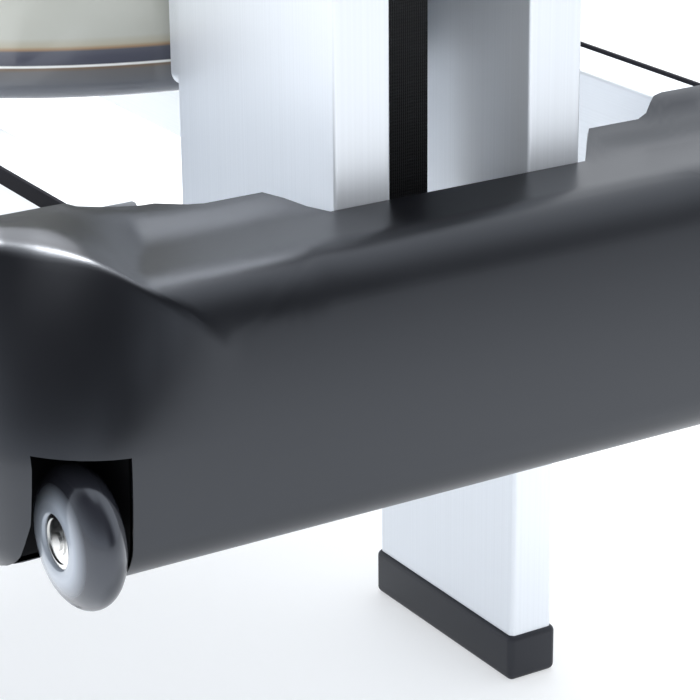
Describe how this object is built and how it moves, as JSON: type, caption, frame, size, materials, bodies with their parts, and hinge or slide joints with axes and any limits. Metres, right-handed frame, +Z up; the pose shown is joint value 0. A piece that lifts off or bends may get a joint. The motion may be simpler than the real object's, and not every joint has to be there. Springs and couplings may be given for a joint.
{
  "type": "water rowing machine",
  "caption": "Water resistance rowing machine on a tubular aluminium frame, with a moulded bumper on castors, a clear tank, a pull strap and a rolling seat",
  "frame": {"origin": "under the middle of the machine, on the floor", "axes": "+Y runs along the rails to the rear, +Z is up, and +X is on the right of someone who faces +Y"},
  "size_m": [0.524, 2.12, 0.686],
  "materials": {
    "aluminium": "satin anodised extruded tube",
    "black_rubber": "matt moulded rubber",
    "dark_steel": "satin powder coat",
    "steel": "zinc plated",
    "bumper_plastic": "satin moulded shell with a fine grain",
    "castor_rubber": "glossy moulded tread",
    "pulley_plastic": "fine textured moulding",
    "webbing": "ribbed woven webbing",
    "white_plastic": "plain moulding",
    "clear_tank": "clear moulded shell, slightly tinted by the water",
    "board_plastic": "textured board",
    "lens": "clear window over the display",
    "button_plastic": "moulded caps",
    "wood": "oiled wood",
    "roller_plastic": "hard urethane tyre",
    "seat_vinyl": "soft grained cover"
  },
  "bodies": {
    "frame": {"rail_left": "aluminium", "rail_right": "aluminium", "rail_strips": "black_rubber", "rail_end_caps": "black_rubber", "upright_left": "aluminium", "upright_right": "aluminium", "upright_cap": "black_rubber", "front_beam": "aluminium", "rear_beam": "aluminium", "upright_brackets": "dark_steel", "front_plate": "aluminium", "legs": "aluminium", "foot_caps": "black_rubber", "frame_bolts": "steel", "bumper_shell": "bumper_plastic", "bumper_stay": "dark_steel", "castor_arms": "dark_steel", "castor_axles": "steel", "pulley_axles": "steel", "lower_pulley_bracket": "dark_steel", "drive_strap": "webbing", "handle_strap": "webbing", "drive_frame": "dark_steel", "recoil_spring": "steel", "tank_lower": "clear_tank", "tank_upper": "clear_tank", "tank_gasket": "black_rubber", "tank_screws": "steel", "tank_plug": "pulley_plastic", "tank_pads": "black_rubber", "tank_brackets": "dark_steel", "footboard": "board_plastic", "footboard_stays": "dark_steel", "foot_straps": "webbing", "console_frame": "dark_steel"},
    "castor_left": {"castor_wheel_left": "castor_rubber", "castor_bearing_left": "steel"},
    "castor_right": {"castor_wheel_right": "castor_rubber", "castor_bearing_right": "steel"},
    "top_pulley": {"top_pulley": "pulley_plastic"},
    "lower_pulley": {"lower_pulley": "pulley_plastic"},
    "idler_pulley": {"idler_pulley": "pulley_plastic"},
    "drum": {"drum": "pulley_plastic"},
    "paddle": {"impeller_shaft": "steel", "impeller": "white_plastic"},
    "heel_left": {"heel_rest_left": "pulley_plastic"},
    "heel_right": {"heel_rest_right": "pulley_plastic"},
    "monitor": {"monitor_body": "pulley_plastic", "monitor_lens": "lens"},
    "button_left": {"button_left": "button_plastic"},
    "button_middle": {"button_middle": "button_plastic"},
    "button_right": {"button_right": "button_plastic"},
    "handle": {"handle_bar": "wood", "handle_grips": "black_rubber", "handle_yoke": "dark_steel"},
    "seat": {"seat_carriage": "pulley_plastic", "seat_axles": "steel", "seat_cushion": "seat_vinyl"},
    "rollers_front": {"seat_rollers_front": "roller_plastic"},
    "rollers_rear": {"seat_rollers_rear": "roller_plastic"}
  },
  "joints": [
    {"name": "castor_left_spin", "type": "hinge", "parent": "frame", "child": "castor_left", "pos_m": [-0.225, -1.027, 0.298], "axis": [1, 0, 0], "continuous": true},
    {"name": "castor_right_spin", "type": "hinge", "parent": "frame", "child": "castor_right", "pos_m": [0.225, -1.027, 0.298], "axis": [1, 0, 0], "continuous": true},
    {"name": "handle_pull", "type": "slide", "parent": "frame", "child": "handle", "axis": [0, 1, 0], "range_m": [0, 1.25], "deforming": ["handle_strap"]},
    {"name": "top_pulley_spin", "type": "hinge", "parent": "frame", "child": "top_pulley", "pos_m": [0, -0.9023, 0.6357], "axis": [1, 0, 0], "continuous": true},
    {"name": "lower_pulley_spin", "type": "hinge", "parent": "frame", "child": "lower_pulley", "pos_m": [0, -0.9143, 0.3447], "axis": [1, 0, 0], "continuous": true},
    {"name": "idler_pulley_spin", "type": "hinge", "parent": "frame", "child": "idler_pulley", "pos_m": [0, -0.8717, 0.5725], "axis": [1, 0, 0], "continuous": true},
    {"name": "drum_spin", "type": "hinge", "parent": "frame", "child": "drum", "pos_m": [0, -0.574, 0.5938], "axis": [0, 0, 1], "continuous": true},
    {"name": "paddle_spin", "type": "hinge", "parent": "frame", "child": "paddle", "pos_m": [0, -0.574, 0.45], "axis": [0, 0, 1], "continuous": true},
    {"name": "seat_roll", "type": "slide", "parent": "frame", "child": "seat", "axis": [0, 1, 0], "range_m": [-0.13, 0.74]},
    {"name": "rollers_front_spin", "type": "hinge", "parent": "seat", "child": "rollers_front", "pos_m": [0, 0.096, 0.4347], "axis": [1, 0, 0], "continuous": true},
    {"name": "rollers_rear_spin", "type": "hinge", "parent": "seat", "child": "rollers_rear", "pos_m": [0, 0.236, 0.4347], "axis": [1, 0, 0], "continuous": true},
    {"name": "heel_left_slide", "type": "slide", "parent": "frame", "child": "heel_left", "axis": [0, 0.6428, -0.766], "range_m": [-0.035, 0.035]},
    {"name": "heel_right_slide", "type": "slide", "parent": "frame", "child": "heel_right", "axis": [0, 0.6428, -0.766], "range_m": [-0.035, 0.035]},
    {"name": "monitor_tilt", "type": "hinge", "parent": "frame", "child": "monitor", "pos_m": [0, -0.294, 0.607], "axis": [1, 0, 0], "range_deg": [-15, 15]},
    {"name": "button_left_press", "type": "slide", "parent": "monitor", "child": "button_left", "axis": [0, -0.766, -0.6428], "range_m": [0, 0.0015], "stiffness_N_per_m": 400, "springref_m": -0.0004},
    {"name": "button_middle_press", "type": "slide", "parent": "monitor", "child": "button_middle", "axis": [0, -0.766, -0.6428], "range_m": [0, 0.0015], "stiffness_N_per_m": 400, "springref_m": -0.0004},
    {"name": "button_right_press", "type": "slide", "parent": "monitor", "child": "button_right", "axis": [0, -0.766, -0.6428], "range_m": [0, 0.0015], "stiffness_N_per_m": 400, "springref_m": -0.0004}
  ],
  "couplings": [
    {"joint": "top_pulley_spin", "follows": "handle_pull", "rad_per_m": -30.03},
    {"joint": "lower_pulley_spin", "follows": "handle_pull", "rad_per_m": -46.948},
    {"joint": "idler_pulley_spin", "follows": "handle_pull", "rad_per_m": 46.948},
    {"joint": "drum_spin", "follows": "handle_pull", "rad_per_m": -31.949},
    {"joint": "rollers_front_spin", "follows": "seat_roll", "rad_per_m": -50},
    {"joint": "rollers_rear_spin", "follows": "seat_roll", "rad_per_m": -50}
  ]
}
